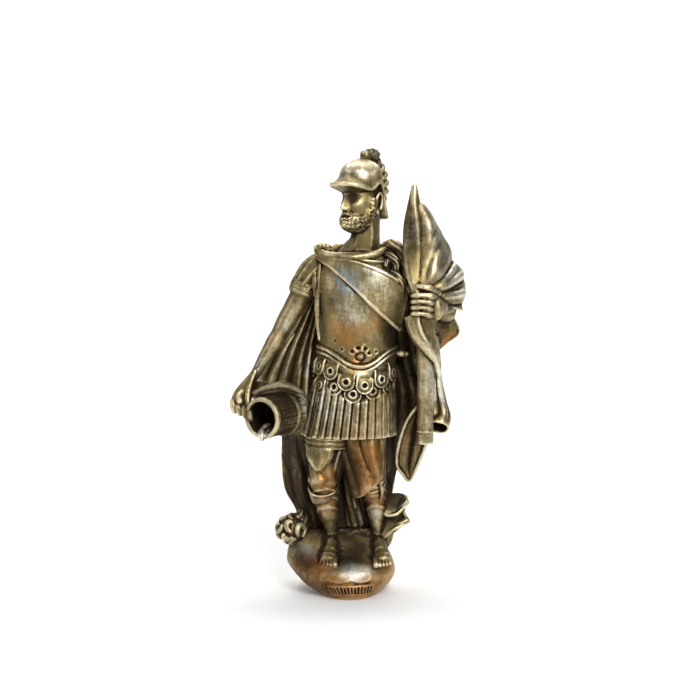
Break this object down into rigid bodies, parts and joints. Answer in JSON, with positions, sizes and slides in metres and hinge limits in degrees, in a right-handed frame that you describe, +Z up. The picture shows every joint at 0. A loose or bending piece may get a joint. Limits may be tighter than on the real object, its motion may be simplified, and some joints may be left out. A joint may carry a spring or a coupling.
{
  "type": "soldier statue",
  "caption": "Antique-gold plaster statue of a cloaked soldier who tips a pail and holds a furled banner, on an oval base.",
  "frame": {"origin": "centre of the base's underside", "axes": "+Z up through the figure, -Y towards the front that the figure faces, +X to the viewer's right"},
  "size_m": [0.2617, 0.1233, 0.4967],
  "materials": {
    "bronzed_plaster": "antique gold bronzing paint over cast plaster, dark in the hollows and rubbed pale on the high parts"
  },
  "bodies": {
    "root": {"statue": "bronzed_plaster"}
  },
  "joints": []
}
